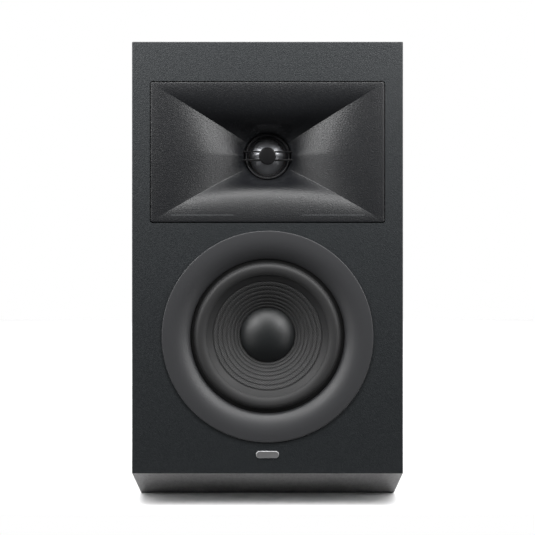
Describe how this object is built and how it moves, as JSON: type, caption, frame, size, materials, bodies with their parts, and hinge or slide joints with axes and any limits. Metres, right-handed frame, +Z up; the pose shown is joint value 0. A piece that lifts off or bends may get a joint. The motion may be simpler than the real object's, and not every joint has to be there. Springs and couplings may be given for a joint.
{
  "type": "bookshelf speaker",
  "caption": "Two-way bookshelf speaker: box with a sloping lower front, rectangular horn tweeter above a round woofer, rear port and screw terminals.",
  "frame": {"origin": "on the resting plane, under the middle of the whole speaker's box", "axes": "+Z up, -Y out of the front, +X to the right as seen from the front"},
  "size_m": [0.19, 0.2396, 0.327],
  "materials": {
    "baffle_finish": "fine pebbled black vinyl film over board, satin",
    "grain_vinyl": "near-black wood-grain vinyl film over board, satin",
    "rear_board": "board under plain black vinyl film, matt",
    "raw_board": "raw medium-density fibreboard",
    "wadding": "white polyester wadding",
    "waveguide_plastic": "fine spark-textured black plastic, satin",
    "bridge_plastic": "smooth satin black plastic",
    "faceplate_plastic": "satin black plastic with a polished lip",
    "soft_roll": "soft black roll",
    "dome_metal": "polished dark anodised aluminium dome",
    "copper": "enamelled copper wire",
    "plated_steel": "zinc-plated steel",
    "black_steel": "black-painted pressed steel",
    "ferrite": "dark grey sintered ferrite",
    "trim_rubber": "soft-touch satin black ring",
    "surround_rubber": "smooth black rubber, satin",
    "cone_pulp": "coated black paper pulp with pressed ribs",
    "cap_rubber": "smooth satin black cap",
    "former_foil": "thin aluminium foil former",
    "spider_cloth": "resin-stiffened yellow cotton",
    "strip_board": "brown paper-phenolic strip with plated tabs",
    "port_plastic": "fine-textured black plastic",
    "cup_plastic": "fine-textured black plastic",
    "post_metal": "gold-plated brass",
    "knob_red": "red tinted plastic, gloss",
    "knob_black": "black plastic, gloss",
    "circuit_board": "green lacquered laminate",
    "capacitor_film": "yellow film wrap",
    "resistor_ceramic": "white ceramic body",
    "lead_red_black": "insulated copper lead",
    "badge_metal": "satin silver blank"
  },
  "bodies": {
    "cabinet": {"front_baffle": "baffle_finish", "chin_panel": "grain_vinyl", "bottom_panel": "grain_vinyl", "top_panel": "grain_vinyl", "left_side_panel": "grain_vinyl", "right_side_panel": "grain_vinyl", "rear_panel": "rear_board", "shelf_brace": "raw_board", "damping_wadding": "wadding", "name_badge": "badge_metal", "waveguide": "waveguide_plastic", "waveguide_screws": "plated_steel", "tweeter_bridge": "bridge_plastic", "tweeter_faceplate": "faceplate_plastic", "tweeter_surround": "soft_roll", "tweeter_top_plate": "plated_steel", "tweeter_magnet": "ferrite", "tweeter_yoke": "plated_steel", "tweeter_rear_chamber": "faceplate_plastic", "tweeter_terminals": "plated_steel", "tweeter_screws": "plated_steel", "woofer_trim_ring": "trim_rubber", "woofer_basket": "black_steel", "woofer_gasket": "soft_roll", "woofer_surround": "surround_rubber", "woofer_spider": "spider_cloth", "woofer_top_plate": "plated_steel", "woofer_magnet": "ferrite", "woofer_yoke": "plated_steel", "woofer_terminal_strip": "strip_board", "woofer_screws": "plated_steel", "port_tube": "port_plastic", "terminal_cup": "cup_plastic", "terminal_cup_screws": "black_steel", "post_collars": "knob_black", "post_nuts": "post_metal", "positive_post": "post_metal", "negative_post": "post_metal", "crossover_board": "circuit_board", "crossover_standoffs": "post_metal", "woofer_inductor": "copper", "tweeter_inductor": "copper", "crossover_capacitors": "capacitor_film", "crossover_resistors": "resistor_ceramic", "input_leads": "lead_red_black", "woofer_leads": "lead_red_black", "tweeter_leads": "lead_red_black"},
    "woofer_diaphragm": {"woofer_cone": "cone_pulp", "woofer_dust_cap": "cap_rubber", "woofer_coil_former": "former_foil", "woofer_voice_coil": "copper"},
    "tweeter_diaphragm": {"tweeter_dome": "dome_metal", "tweeter_voice_coil": "copper"},
    "positive_clamp": {"positive_clamp_washer": "post_metal"},
    "positive_screw_knob": {"positive_knob": "knob_red"},
    "negative_clamp": {"negative_clamp_washer": "post_metal"},
    "negative_screw_knob": {"negative_knob": "knob_black"}
  },
  "joints": [
    {"name": "woofer_excursion", "type": "slide", "parent": "cabinet", "child": "woofer_diaphragm", "axis": [0, -1, 0], "range_m": [-0.004, 0.004], "stiffness_N_per_m": 1000, "deforming": ["woofer_surround", "woofer_spider"]},
    {"name": "tweeter_excursion", "type": "slide", "parent": "cabinet", "child": "tweeter_diaphragm", "axis": [0, -1, 0], "range_m": [-0.0004, 0.0004], "stiffness_N_per_m": 150, "deforming": ["tweeter_surround"]},
    {"name": "positive_clamp_slide", "type": "slide", "parent": "cabinet", "child": "positive_clamp", "axis": [0, 1, 0], "range_m": [0, 0.0048]},
    {"name": "positive_knob_turn", "type": "hinge", "parent": "positive_clamp", "child": "positive_screw_knob", "pos_m": [0.00953, 0.10775, 0.084], "axis": [0, 1, 0], "range_deg": [0, 2160]},
    {"name": "negative_clamp_slide", "type": "slide", "parent": "cabinet", "child": "negative_clamp", "axis": [0, 1, 0], "range_m": [0, 0.0048]},
    {"name": "negative_knob_turn", "type": "hinge", "parent": "negative_clamp", "child": "negative_screw_knob", "pos_m": [-0.00953, 0.10775, 0.084], "axis": [0, 1, 0], "range_deg": [0, 2160]}
  ],
  "couplings": [
    {"joint": "positive_knob_turn", "follows": "positive_clamp_slide", "rad_per_m": 7854},
    {"joint": "negative_knob_turn", "follows": "negative_clamp_slide", "rad_per_m": 7854}
  ]
}
